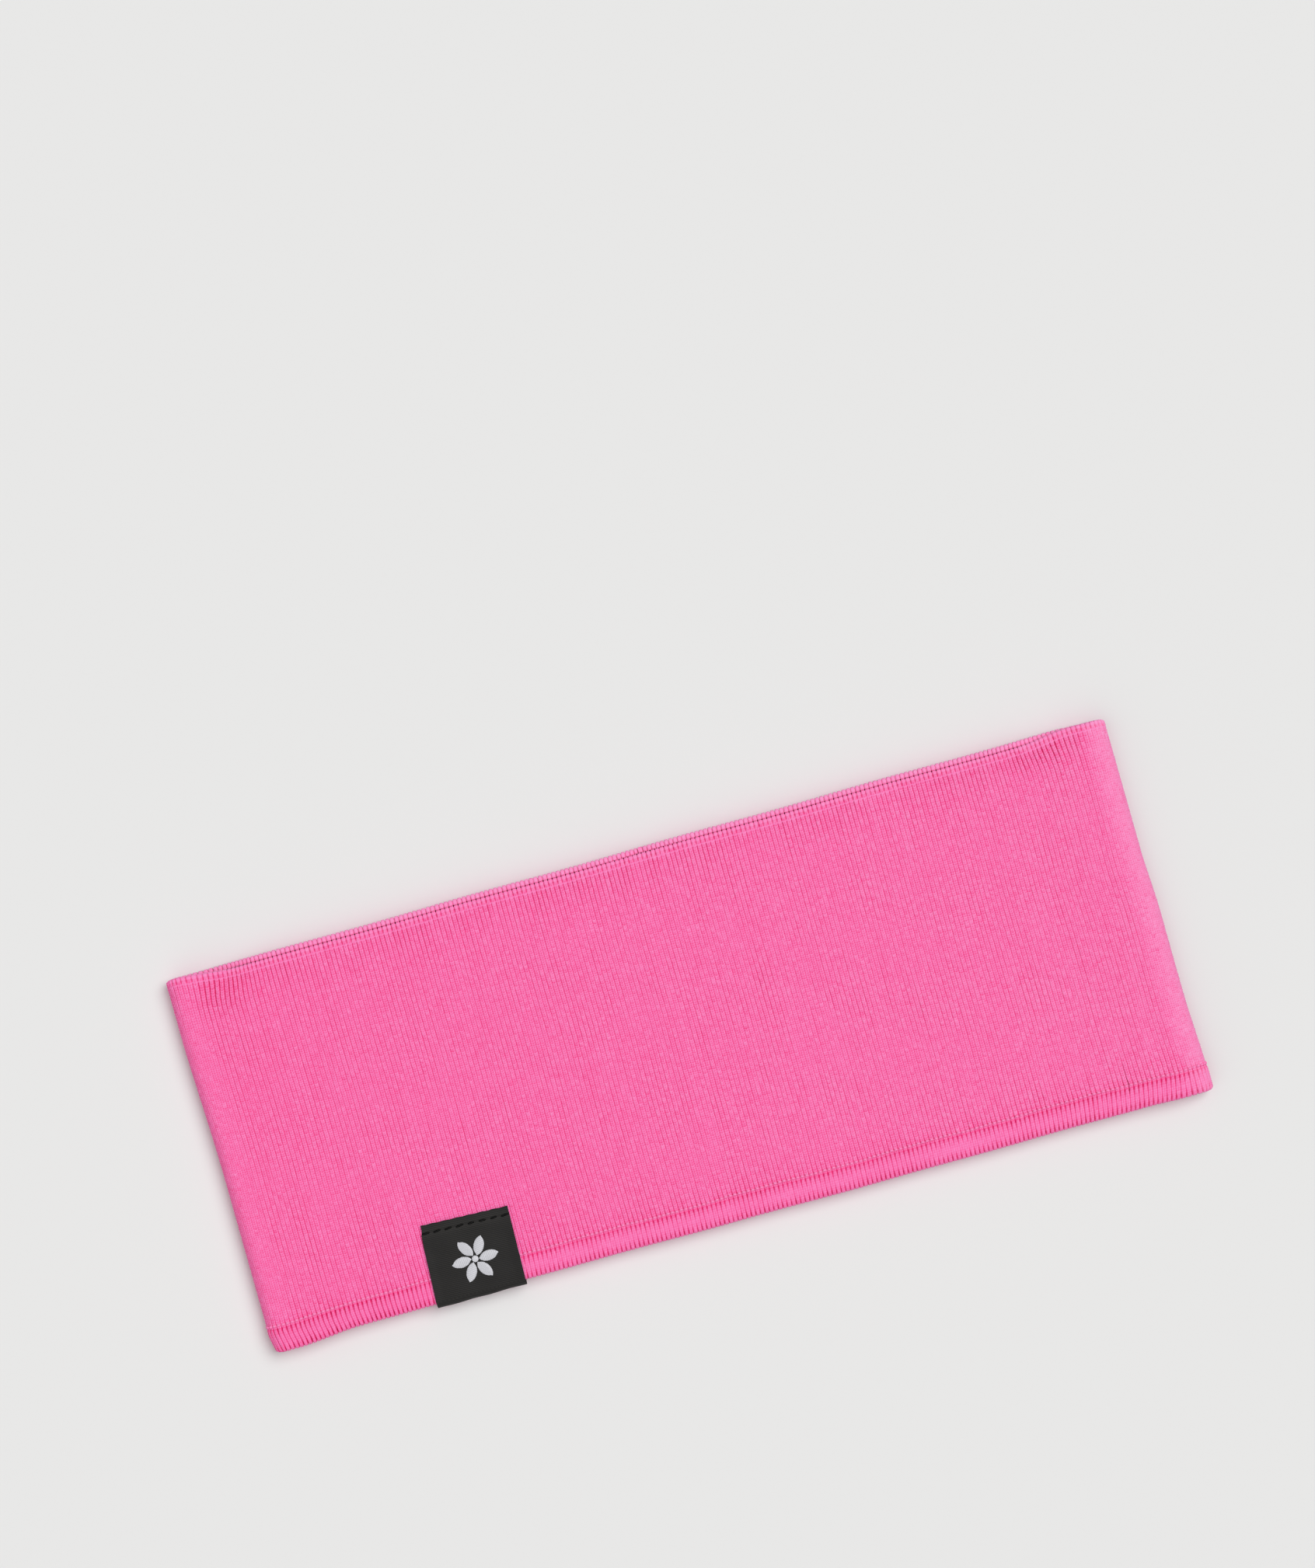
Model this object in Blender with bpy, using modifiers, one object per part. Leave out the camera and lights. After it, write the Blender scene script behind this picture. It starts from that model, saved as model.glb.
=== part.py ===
"""Knitted sports headband, lying flat and closed on a table.

The band is a short knitted tube, pressed flat: a front panel on top of a back
panel, joined by a turned fold at the left and at the right. Each panel is an
outer knit over a lining. The outer knit turns in over the top edge and turns
up inside at the hem, where a linking thread runs in a groove. A woven label
is folded round the front hem, and is sewn and embroidered.

The band opens into a ring: each panel is divided into stiff lengths, which
hang from a chain of hinge empties.

X runs along the flat width (left is -X), Y from hem to top edge, Z up. The
origin is at the middle of the width, on the resting face. Metres.
"""
import math

import bpy

MM = 0.001

# ---- band ---------------------------------------------------------------
FLAT_WIDTH = 240.0 * MM         # fold to fold
BACK_TOP = 47.85 * MM           # top edge of the back panel
FRONT_TOP = 45.95 * MM          # the front panel sits a little lower
HEM_EDGE = -47.15 * MM          # hem edge of both panels
OUTER_KNIT = 1.2 * MM           # thickness of the outer knit
LINING = 0.9 * MM               # thickness of the lining
LINING_BEVEL = 0.2 * MM
LAYER_GAP = 0.3 * MM            # air between outer knit and lining
PANEL_GAP = 1.1 * MM            # air between front and back panels
HEM_HEIGHT = 6.0 * MM           # how far the hem is turned up
TOP_TURN = 5.0 * MM             # how far the top edge is turned in
BUTT_GAP = 0.3 * MM             # gap between neighbouring pieces
SEGMENTS = 6                    # lengths in each panel

PANEL = OUTER_KNIT + LAYER_GAP + LINING
HEIGHT = 2 * PANEL + PANEL_GAP
MID_Z = HEIGHT / 2
BACK_INNER_Z = PANEL
FRONT_INNER_Z = HEIGHT - PANEL
SEGMENT = FLAT_WIDTH / SEGMENTS

# ---- side folds ---------------------------------------------------------
FOLD_RADIUS = HEIGHT / 2
FOLD_X = FLAT_WIDTH / 2 - FOLD_RADIUS
PANEL_END = FOLD_X - FOLD_RADIUS - BUTT_GAP
FOLD_WRAP = math.radians(150)   # each way from the outermost line
FOLD_KNIT_INSET = 0.9 * MM      # from the hem edge and from the top edge
FOLD_LINING_INSET = 6.3 * MM

# ---- threads ------------------------------------------------------------
GROOVE_Y = -40.6 * MM           # middle of the linking line
GROOVE_HALF = 1.35 * MM         # half width of its groove, at the bottom
GROOVE_SLOPE = 0.15 * MM        # run of each sloping groove wall
GROOVE_DEPTH = 0.65 * MM
THREAD_RADIUS = 0.2 * MM
THREAD_SINK = 0.02 * MM         # thread lies this far below the outer face
THREAD_SWING = 0.9 * MM         # half width of the zigzag
THREAD_STEP = 2.4 * MM          # run of one zig, before it is fitted
THREAD_END = 1.0 * MM           # thread stops this far from each end

SEAM_CORD_RADIUS = 0.25 * MM
SEAM_NEAR_X = -0.65 * MM
SEAM_FAR_X = -2.3 * MM
SEAM_END = 2.0 * MM             # seam stops this far from hem and top edge
SEAM_STEPS = 26

# ---- label --------------------------------------------------------------
LABEL_CENTRE_X = -66.2 * MM
LABEL_WIDTH = 22.2 * MM
LABEL_TOP_Y = -27.7 * MM
LABEL_BACK_TOP_Y = -33.0 * MM
LABEL_CLOTH = 0.4 * MM
LABEL_SIDE_LEAN = math.radians(2.8)
LABEL_TOP_TILT = math.radians(-2.7)
LABEL_BEND_Y = HEM_EDGE + PANEL / 2     # where the bend round the hem begins

# heights of the label's front leaf, and of its back leaf between the panels
FRONT_LEAF_LOW = HEIGHT + BUTT_GAP
FRONT_LEAF_HIGH = FRONT_LEAF_LOW + LABEL_CLOTH
BACK_LEAF_LOW = BACK_INNER_Z + 0.35 * MM
BACK_LEAF_HIGH = BACK_LEAF_LOW + LABEL_CLOTH

STITCH_RADIUS = 0.18 * MM
STITCH_RISE = 0.12 * MM         # every second point is lifted by this
STITCH_STEPS = 22
STITCH_Y = LABEL_TOP_Y - 2.0 * MM
STITCH_RUN = LABEL_WIDTH - 2.4 * MM

EMBLEM_X = LABEL_CENTRE_X + 0.5 * MM
EMBLEM_Y = -38.6 * MM
EMBLEM_RADIUS = 4.3 * MM        # mean radius
EMBLEM_LOBE = 1.5 * MM          # how far the lobes swing from it
EMBLEM_LOBES = 6
EMBLEM_POINTS = 72
EMBLEM_THICKNESS = 0.35 * MM
EMBLEM_TURN = math.radians(-2.0)
LABEL_TRIM_GAP = 0.25 * MM      # air below the stitching and the emblem

# Rotations for a flat outline whose second axis is to stand up as Z
RUN_ALONG_X = (math.pi / 2, 0.0, math.pi / 2)   # outline is in (y, z)
RUN_ALONG_Y = (math.pi / 2, 0.0, 0.0)           # outline is in (x, z)


# ---- scene and materials ------------------------------------------------
for old in list(bpy.data.objects):
    bpy.data.objects.remove(old, do_unlink=True)

parts = bpy.data.collections.new("sports_headband")
guides = bpy.data.collections.new("guides")
bpy.context.scene.collection.children.link(parts)
bpy.context.scene.collection.children.link(guides)


def make_material(name, colour, roughness):
    material = bpy.data.materials.new(name)
    material.use_nodes = True
    shader = material.node_tree.nodes["Principled BSDF"]
    shader.inputs["Base Color"].default_value = (*colour, 1.0)
    shader.inputs["Roughness"].default_value = roughness
    material.diffuse_color = (*colour, 1.0)
    return material


PINK_KNIT = make_material("pink_knit", colour=(0.94, 0.17, 0.45), roughness=0.9)
PINK_LINING = make_material("pink_lining", colour=(0.86, 0.13, 0.38), roughness=0.95)
PINK_THREAD = make_material("pink_thread", colour=(0.97, 0.25, 0.52), roughness=0.8)
BLACK_LABEL = make_material("black_label", colour=(0.012, 0.012, 0.014), roughness=0.75)
BLACK_THREAD = make_material("black_thread", colour=(0.02, 0.02, 0.022), roughness=0.6)
SILVER_THREAD = make_material("silver_thread", colour=(0.72, 0.73, 0.74), roughness=0.4)


# ---- hinge chain --------------------------------------------------------
hinge_places = {}


def put_under(obj, parent, place):
    """Parent obj to a hinge, and set it at a place given in the world."""
    obj.parent = parent
    obj.location = [a - b for a, b in zip(place, hinge_places[parent.name])]


def hang(obj, hinge, place):
    """Add a piece to the band, moving with its hinge."""
    put_under(obj, hinge, place)
    parts.objects.link(obj)


def build_chain():
    """One empty on each hinge axis, each the child of the one before.

    The chain runs left from the centre back, over the left fold, along the
    front, over the right fold and back to the centre, where it stays open.
    The axes lie on the inner faces, and in the middle of the two folds.
    """
    links = [("back_3", 0.0, BACK_INNER_Z),
             ("back_2", -SEGMENT, BACK_INNER_Z),
             ("back_1", -2 * SEGMENT, BACK_INNER_Z),
             ("front_1", -FOLD_X, MID_Z)]
    links += [(f"front_{number}", -FLAT_WIDTH / 2 + (number - 1) * SEGMENT, FRONT_INNER_Z)
              for number in range(2, SEGMENTS + 1)]
    links += [("back_6", FOLD_X, MID_Z),
              ("back_5", 2 * SEGMENT, BACK_INNER_Z),
              ("back_4", SEGMENT, BACK_INNER_Z)]

    hinges = {}
    previous = None
    for body, x, z in links:
        name = f"hinge_{body}"
        empty = bpy.data.objects.new(name, None)
        empty.empty_display_size = 8 * MM
        empty.hide_render = True
        guides.objects.link(empty)
        hinge_places[name] = (x, 0.0, z)
        if previous:
            put_under(empty, previous, hinge_places[name])
        else:
            empty.location = hinge_places[name]
        hinges[body] = previous = empty
    return hinges


# ---- shape helpers ------------------------------------------------------
def add_poly(curve, points, closed):
    spline = curve.splines.new("POLY")
    spline.points.add(len(points) - 1)
    for point, place in zip(spline.points, points):
        point.co = (*place, 1.0)
    spline.use_cyclic_u = closed


def flat_outline(name, points, thickness, material, rotation):
    """A filled flat outline, extruded to both sides of its plane."""
    curve = bpy.data.curves.new(name, "CURVE")
    curve.dimensions = "2D"
    curve.fill_mode = "BOTH"
    curve.extrude = thickness / 2
    add_poly(curve, [(u, v, 0.0) for u, v in points], closed=True)
    curve.materials.append(material)
    obj = bpy.data.objects.new(name, curve)
    obj.rotation_euler = rotation
    return obj


def cord(name, points, radius, material):
    """A thread: a poly line with a round bevel and closed ends."""
    curve = bpy.data.curves.new(name, "CURVE")
    curve.dimensions = "3D"
    curve.bevel_depth = radius
    curve.bevel_resolution = 1
    curve.use_fill_caps = True
    add_poly(curve, points, closed=False)
    curve.materials.append(material)
    return bpy.data.objects.new(name, curve)


def arc(centre, radii, start, end, steps):
    """Points on an elliptical arc; angle 0 looks along the first axis."""
    angles = [start + (end - start) * i / steps for i in range(steps + 1)]
    return [(centre[0] + radii[0] * math.cos(angle),
             centre[1] + radii[1] * math.sin(angle)) for angle in angles]


# ---- lengths of the two panels ------------------------------------------
def height_at(panel, depth):
    """Z at a depth below a panel's outer face."""
    return HEIGHT - depth if panel == "front" else depth


def knit_section(top):
    """Outer knit in (y, depth): outer face, turned top edge, turned hem."""
    edge = PANEL / 2
    slot = LAYER_GAP / 2
    slot_middle = OUTER_KNIT + slot
    hem_centre = HEM_EDGE + edge
    top_centre = top - edge
    quarter = math.pi / 2
    return [
        *arc((hem_centre, edge), (edge, edge), quarter, 3 * quarter, 8),
        (GROOVE_Y - GROOVE_HALF - GROOVE_SLOPE, 0.0),
        (GROOVE_Y - GROOVE_HALF, GROOVE_DEPTH),
        (GROOVE_Y + GROOVE_HALF, GROOVE_DEPTH),
        (GROOVE_Y + GROOVE_HALF + GROOVE_SLOPE, 0.0),
        *arc((top_centre, edge), (edge, edge), -quarter, quarter, 8),
        (top - TOP_TURN, PANEL),
        (top - TOP_TURN, PANEL - LINING),
        *arc((top_centre, slot_middle), (slot, slot), quarter, -quarter, 3),
        *arc((hem_centre, slot_middle), (slot, slot), 3 * quarter, quarter, 3),
        (HEM_EDGE + HEM_HEIGHT, PANEL - LINING),
        (HEM_EDGE + HEM_HEIGHT, PANEL),
    ]


def add_outer_knit(panel, number, top, middle, length, hinge):
    outline = [(y, height_at(panel, depth)) for y, depth in knit_section(top)]
    if panel == "front":
        outline.reverse()
    knit = flat_outline(f"outer_knit_{panel}_{number}", outline, length,
                        PINK_KNIT, RUN_ALONG_X)
    hang(knit, hinge, (middle, 0.0, 0.0))


def add_lining(panel, number, top, middle, length, hinge):
    """A slab between the turned top edge and the hem."""
    low = HEM_EDGE + HEM_HEIGHT + BUTT_GAP
    high = top - TOP_TURN - BUTT_GAP
    bpy.ops.mesh.primitive_cube_add(size=1.0)
    slab = bpy.context.object
    slab.users_collection[0].objects.unlink(slab)
    slab.name = f"lining_{panel}_{number}"
    slab.data.name = slab.name
    for vertex in slab.data.vertices:
        vertex.co.x *= length
        vertex.co.y *= high - low
        vertex.co.z *= LINING
    bevel = slab.modifiers.new("soft_edges", "BEVEL")
    bevel.width = LINING_BEVEL
    bevel.segments = 1
    bevel.limit_method = "ANGLE"
    slab.data.materials.append(PINK_LINING)
    hang(slab, hinge, (middle, (low + high) / 2, height_at(panel, PANEL - LINING / 2)))


def add_linking_thread(panel, number, middle, length, hinge):
    """A zigzag lying in the groove above the hem."""
    run = length - 2 * THREAD_END
    steps = round(run / THREAD_STEP)
    zigzag = [(i * run / steps - run / 2, THREAD_SWING if i % 2 else -THREAD_SWING, 0.0)
              for i in range(steps + 1)]
    thread = cord(f"linking_thread_{panel}_{number}", zigzag, THREAD_RADIUS, PINK_THREAD)
    hang(thread, hinge, (middle, GROOVE_Y, height_at(panel, THREAD_RADIUS + THREAD_SINK)))


def add_panel(panel, top, hinges):
    for number in range(1, SEGMENTS + 1):
        left = -FLAT_WIDTH / 2 + (number - 1) * SEGMENT + BUTT_GAP / 2
        right = left + SEGMENT - BUTT_GAP
        # the end lengths stop short of the folds
        left = max(left, -PANEL_END)
        right = min(right, PANEL_END)
        middle = (left + right) / 2
        length = right - left
        hinge = hinges[f"{panel}_{number}"]
        add_outer_knit(panel, number, top, middle, length, hinge)
        add_lining(panel, number, top, middle, length, hinge)
        add_linking_thread(panel, number, middle, length, hinge)


# ---- side folds and back seam -------------------------------------------
def add_fold_layer(name, sign, outer, inner, inset, material, hinge):
    """A C of cloth round the fold axis, opening to the panels."""
    section = arc((0.0, 0.0), (outer, outer), -FOLD_WRAP, FOLD_WRAP, 20)
    section += arc((0.0, 0.0), (inner, inner), FOLD_WRAP, -FOLD_WRAP, 12)
    outline = [(sign * x, z) for x, z in section]
    if sign < 0:
        outline.reverse()
    low = HEM_EDGE + inset
    high = BACK_TOP - inset
    layer = flat_outline(name, outline, high - low, material, RUN_ALONG_Y)
    hang(layer, hinge, (sign * FOLD_X, (low + high) / 2, MID_Z))


def add_fold(side, sign, hinge):
    add_fold_layer(f"outer_knit_{side}_fold", sign,
                   outer=FOLD_RADIUS, inner=FOLD_RADIUS - OUTER_KNIT,
                   inset=FOLD_KNIT_INSET, material=PINK_KNIT, hinge=hinge)
    add_fold_layer(f"lining_{side}_fold", sign,
                   outer=FOLD_RADIUS - OUTER_KNIT - LAYER_GAP, inner=PANEL_GAP / 2,
                   inset=FOLD_LINING_INSET, material=PINK_LINING, hinge=hinge)


def add_back_seam(hinge):
    """A zigzag on the back panel's inner face, just left of the centre."""
    low = HEM_EDGE + SEAM_END
    high = BACK_TOP - SEAM_END
    zigzag = [(SEAM_NEAR_X if i % 2 else SEAM_FAR_X,
               low + (high - low) * i / SEAM_STEPS, 0.0)
              for i in range(SEAM_STEPS + 1)]
    seam = cord("back_seam_thread", zigzag, SEAM_CORD_RADIUS, PINK_THREAD)
    hang(seam, hinge, (0.0, 0.0, BACK_INNER_Z + BUTT_GAP + SEAM_CORD_RADIUS))


# ---- woven label --------------------------------------------------------
def sewn_askew(x, y):
    """Lean the label's sides and tilt its top edge; x is from its centre."""
    rise = max(0.0, y - LABEL_BEND_Y)
    share = rise / (LABEL_TOP_Y - LABEL_BEND_Y)
    return (x + math.tan(LABEL_SIDE_LEAN) * rise,
            y + math.tan(LABEL_TOP_TILT) * x * share)


def label_section():
    """Label in (y, z): bent round the hem, with a longer leaf in front."""
    inner_reach = LABEL_BEND_Y - (HEM_EDGE - BUTT_GAP)
    outer_reach = inner_reach + LABEL_CLOTH
    outer_centre = (LABEL_BEND_Y, (FRONT_LEAF_HIGH + BACK_LEAF_LOW) / 2)
    inner_centre = (LABEL_BEND_Y, (FRONT_LEAF_LOW + BACK_LEAF_HIGH) / 2)
    outer_radii = (outer_reach, (FRONT_LEAF_HIGH - BACK_LEAF_LOW) / 2)
    inner_radii = (inner_reach, (FRONT_LEAF_LOW - BACK_LEAF_HIGH) / 2)
    quarter = math.pi / 2
    return [
        *arc(outer_centre, outer_radii, 3 * quarter, quarter, 12),
        (LABEL_TOP_Y, FRONT_LEAF_HIGH),
        (LABEL_TOP_Y, FRONT_LEAF_LOW),
        *arc(inner_centre, inner_radii, quarter, 3 * quarter, 12),
        (LABEL_BACK_TOP_Y, BACK_LEAF_HIGH),
        (LABEL_BACK_TOP_Y, BACK_LEAF_LOW),
    ]


def add_label(hinge):
    # a straight blank is turned into a mesh, so that it can be skewed
    blank = flat_outline("label_blank", label_section(), LABEL_WIDTH,
                         BLACK_LABEL, RUN_ALONG_X)
    guides.objects.link(blank)
    bpy.context.view_layer.update()
    depsgraph = bpy.context.evaluated_depsgraph_get()
    mesh = bpy.data.meshes.new_from_object(blank.evaluated_get(depsgraph))
    mesh.transform(blank.matrix_world)
    bpy.data.objects.remove(blank, do_unlink=True)

    mesh.name = "woven_label"
    for vertex in mesh.vertices:
        vertex.co.x, vertex.co.y = sewn_askew(vertex.co.x, vertex.co.y)
    # the bend is shaded smooth, the real edges stay sharp
    mesh.shade_smooth()
    mesh.set_sharp_from_angle(angle=math.radians(40))
    label = bpy.data.objects.new("woven_label", mesh)
    hang(label, hinge, (LABEL_CENTRE_X, 0.0, 0.0))


def add_label_stitching(hinge):
    """A row of stitches below the label's top edge."""
    row = [(*sewn_askew((i / STITCH_STEPS - 0.5) * STITCH_RUN, STITCH_Y),
            STITCH_RISE if i % 2 else 0.0)
           for i in range(STITCH_STEPS + 1)]
    stitching = cord("label_stitching", row, STITCH_RADIUS, BLACK_THREAD)
    hang(stitching, hinge,
         (LABEL_CENTRE_X, 0.0, FRONT_LEAF_HIGH + LABEL_TRIM_GAP + STITCH_RADIUS))


def add_label_emblem(hinge):
    """Raised embroidery: a plain rosette."""
    rosette = []
    for i in range(EMBLEM_POINTS):
        angle = 2 * math.pi * i / EMBLEM_POINTS
        radius = EMBLEM_RADIUS + EMBLEM_LOBE * math.cos(EMBLEM_LOBES * angle)
        rosette.append((radius * math.cos(angle), radius * math.sin(angle)))
    emblem = flat_outline("label_emblem", rosette, EMBLEM_THICKNESS,
                          SILVER_THREAD, (0.0, 0.0, EMBLEM_TURN))
    hang(emblem, hinge,
         (EMBLEM_X, EMBLEM_Y, FRONT_LEAF_HIGH + LABEL_TRIM_GAP + EMBLEM_THICKNESS / 2))


# ---- build --------------------------------------------------------------
hinges = build_chain()
add_panel("back", BACK_TOP, hinges)
add_panel("front", FRONT_TOP, hinges)
add_fold("left", -1, hinges["back_1"])
add_fold("right", 1, hinges["back_6"])
add_back_seam(hinges["back_3"])
add_label(hinges["front_2"])
add_label_stitching(hinges["front_2"])
add_label_emblem(hinges["front_2"])
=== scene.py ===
"""Knitted sports headband lying flat: cloth, hem, linking, seam, label, light.

x runs along the band, y from the hem up to the top edge. The back panel's outer face
is at z = 0 and the front panel's at z = FACE; the two meet in a fold at each side.
A place on the cloth is given by `along` (distance along the band from its centre,
on round the folds), y, and `depth` below the panel's outer face. `climb` is the
height measured on the cloth, so it runs on round the rolled edges.
"""
import math

import bpy
import numpy as np
from mathutils import Matrix, Vector


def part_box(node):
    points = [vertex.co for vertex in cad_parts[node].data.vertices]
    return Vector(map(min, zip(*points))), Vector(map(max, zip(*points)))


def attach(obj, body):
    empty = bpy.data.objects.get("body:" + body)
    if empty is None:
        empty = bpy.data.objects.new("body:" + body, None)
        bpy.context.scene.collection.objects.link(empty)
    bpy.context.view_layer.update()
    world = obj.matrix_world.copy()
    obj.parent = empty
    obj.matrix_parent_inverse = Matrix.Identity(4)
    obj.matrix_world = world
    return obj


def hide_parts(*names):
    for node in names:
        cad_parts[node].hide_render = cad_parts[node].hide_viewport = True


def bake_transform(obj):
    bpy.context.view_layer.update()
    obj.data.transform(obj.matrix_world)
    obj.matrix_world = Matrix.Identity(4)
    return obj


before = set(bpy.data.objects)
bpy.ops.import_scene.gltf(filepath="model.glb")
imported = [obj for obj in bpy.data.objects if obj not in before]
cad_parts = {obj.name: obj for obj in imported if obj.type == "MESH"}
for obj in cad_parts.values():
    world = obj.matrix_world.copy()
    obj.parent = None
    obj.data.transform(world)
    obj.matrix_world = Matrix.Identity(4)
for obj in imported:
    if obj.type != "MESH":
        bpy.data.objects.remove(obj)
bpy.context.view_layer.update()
MM = 0.001
TAU = 2 * math.pi

# ------------------------------------------------------------------ dimensions
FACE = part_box("outer_knit_front_3")[1].z       # outer face of the front panel
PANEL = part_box("outer_knit_back_3")[1].z       # thickness of one panel
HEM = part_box("outer_knit_back_3")[0].y
TOP = {panel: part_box("outer_knit_%s_3" % panel)[1].y for panel in ("front", "back")}
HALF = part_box("outer_knit_right_fold")[1].x
MID_Z = FACE / 2
FOLD_R = FACE / 2
FOLD_X = HALF - FOLD_R                         # fold axis
FOLD_TIP = FOLD_X + FOLD_R * math.pi / 2       # fold tip, along the cloth
ROLL_R = PANEL / 2                             # radius of top and hem rolls
HEM_LEG = 6.0 * MM                             # turned-in lengths at hem and top
TOP_LEG = 5.0 * MM
SHEET = 1.2 * MM                               # outer knit alone
LINING_OUTER, LINING_INNER = 1.5 * MM, PANEL   # depths of the lining's two faces
COURSE = 0.5625 * MM                           # height of one row of stitches
FRONT_LIFT = 0.45 * MM                         # front's top edge above its CAD edge
LIP_ROWS = (0.24, 0.32, 0.38, 0.51)            # mm above the front's CAD edge


# ------------------------------------------------------------ shaping functions
def smooth(start, end, x):
    t = np.clip((x - start) / (end - start), 0.0, 1.0)
    return t * t * (3 - 2 * t)


def ramp(start, end, x):
    """smooth() between two places given in mm."""
    return smooth(start * MM, end * MM, x)


def bell(x, centre, width):
    return np.exp(-((x - centre) / width) ** 2)


def hump(x, centre, width):
    """bell() with its centre and width in mm."""
    return bell(x, centre * MM, width * MM)


def ripple(x, length, phase=0.0):
    """Sine wave whose length is in mm."""
    return np.sin(TAU * x / (length * MM) + phase)


# ------------------------------------------------------------------- materials
class Nodes:
    """Short calls that add nodes to one tree; inputs are sockets or plain values."""

    def __init__(self, tree):
        self.tree = tree

    def wire(self, node, inputs):
        for key, value in inputs.items():
            if isinstance(value, bpy.types.NodeSocket):
                self.tree.links.new(value, node.inputs[key])
            else:
                node.inputs[key].default_value = value

    def make(self, kind, inputs={}, **settings):
        node = self.tree.nodes.new(kind)
        for key, value in settings.items():
            setattr(node, key, value)
        self.wire(node, inputs)
        return node

    def math(self, operation, first, second, clamp=False):
        node = self.make("ShaderNodeMath", {0: first, 1: second},
                         operation=operation, use_clamp=clamp)
        return node.outputs[0]

    def plus(self, first, second, clamp=False):
        return self.math("ADD", first, second, clamp)

    def minus(self, first, second, clamp=False):
        return self.math("SUBTRACT", first, second, clamp)

    def times(self, first, second, clamp=False):
        return self.math("MULTIPLY", first, second, clamp)

    def mix(self, factor, first, second):
        """Blend of two colours, each a socket or an RGB triple."""
        first, second = ((*c, 1.0) if isinstance(c, tuple) else c for c in (first, second))
        node = self.make("ShaderNodeMix", data_type="RGBA")
        self.wire(node, {0: factor, 6: first, 7: second})
        return node.outputs[2]

    def coords(self):
        return self.make("ShaderNodeTexCoord").outputs["Object"]

    def attribute(self, name):
        return self.make("ShaderNodeAttribute", attribute_name=name).outputs["Fac"]

    def noise(self, coords, scale, detail, rough):
        return self.make("ShaderNodeTexNoise", {
            "Vector": coords, "Scale": scale, "Detail": detail, "Roughness": rough,
        }).outputs["Fac"]

    def bump(self, height, strength, distance):
        return self.make("ShaderNodeBump", {
            "Height": height, "Strength": strength, "Distance": distance,
        }).outputs["Normal"]


def new_material(name):
    mat = bpy.data.materials.new(name)
    mat.use_nodes = True
    return mat, Nodes(mat.node_tree), mat.node_tree.nodes["Principled BSDF"]


def yarn_material(name, light, deep_and_shade, pale_and_lit, rough=0.88):
    """Spun yarn: painted shade deepens the colour in the hollows; paler and fuzzier on the
    crowns.
    """
    mat, nodes, shader = new_material(name)
    coords = nodes.coords()
    hollow_shade = nodes.attribute("hollow_shade")
    tone_and_painted_light = nodes.attribute("tone_and_painted_light")
    fine = nodes.noise(coords, scale=2600.0, detail=3.0, rough=0.6)
    fleck = nodes.noise(coords, scale=1150.0, detail=2.0, rough=0.6)
    patch = nodes.noise(coords, scale=60.0, detail=2.0, rough=0.5)
    # painted shade: the hollows take the deep colour
    colour = nodes.mix(nodes.times(hollow_shade, 1.0, clamp=True), light, deep_and_shade)
    # each grain swings the shade about zero; above it is paler, below it deeper. The tone added
    # last carries painted light as well.
    shade = nodes.times(nodes.minus(fine, 0.5), 0.42)
    for grain, strength in ((fleck, 0.06), (patch, 0.025)):
        shade = nodes.plus(shade, nodes.times(nodes.minus(grain, 0.5), strength))
    shade = nodes.plus(shade, nodes.minus(tone_and_painted_light, 0.5))
    paler = nodes.math("MAXIMUM", shade, 0.0)
    deeper = nodes.times(nodes.math("MINIMUM", shade, 0.0), -1.0, clamp=True)
    colour = nodes.mix(paler, colour, pale_and_lit)
    colour = nodes.mix(deeper, colour, deep_and_shade)
    nodes.wire(shader, {
        "Base Color": colour,
        "Roughness": nodes.plus(nodes.times(fine, 0.16), rough - 0.08, clamp=True),
        "Specular IOR Level": 0.2,
        "Sheen Weight": 0.40,
        "Sheen Roughness": 0.4,
        "Sheen Tint": (1.0, 0.62, 0.80, 1.0),
        "Normal": nodes.bump(nodes.plus(fine, nodes.times(fleck, 0.8)),
                             strength=0.55, distance=0.00005),
    })
    return mat


def label_material():
    """Black woven tape: fine diagonal twill, with painted highlight on the float yarns and
    painted shade between them.
    """
    mat, nodes, shader = new_material("black_woven_twill")
    coords = nodes.coords()
    hollow_shade = nodes.attribute("hollow_shade")
    fine = nodes.noise(coords, scale=4200.0, detail=3.0, rough=0.6)
    patch = nodes.noise(coords, scale=160.0, detail=2.0, rough=0.5)
    crown = nodes.minus(1.0, hollow_shade, clamp=True)
    # painted highlight: the twill's crowns are lighter and the grooves between them darker
    lit = nodes.times(crown, nodes.plus(nodes.times(fine, 0.9), 0.25), clamp=True)
    colour = nodes.mix(lit, (0.0045, 0.0042, 0.0040), (0.031, 0.0285, 0.0265))
    colour = nodes.mix(nodes.times(patch, 0.10), colour, (0.024, 0.024, 0.025))
    nodes.wire(shader, {
        "Base Color": colour,
        "Roughness": nodes.plus(nodes.times(fine, 0.25), 0.47),
        "Specular IOR Level": 0.22,
        "Sheen Weight": 0.03,
        "Normal": nodes.bump(fine, strength=0.4, distance=0.00003),
    })
    return mat


def lustre_material(name, light, deep_and_shade, rough, specular, contrast=1.0):
    """Lustrous filament thread: painted highlight along each strand, painted shade between."""
    mat, nodes, shader = new_material(name)
    coords = nodes.coords()
    hollow_shade = nodes.attribute("hollow_shade")
    fine = nodes.noise(coords, scale=3800.0, detail=2.0, rough=0.5)
    colour = nodes.mix(nodes.times(hollow_shade, contrast, clamp=True), light, deep_and_shade)
    speck = nodes.times(nodes.minus(fine, 0.45, clamp=True), 0.9, clamp=True)
    colour = nodes.mix(speck, colour, deep_and_shade)
    nodes.wire(shader, {
        "Base Color": colour,
        "Roughness": nodes.plus(nodes.times(fine, 0.2), rough - 0.1, clamp=True),
        "Specular IOR Level": specular,
        "Normal": nodes.bump(fine, strength=0.4, distance=0.00002),
    })
    return mat


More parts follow.
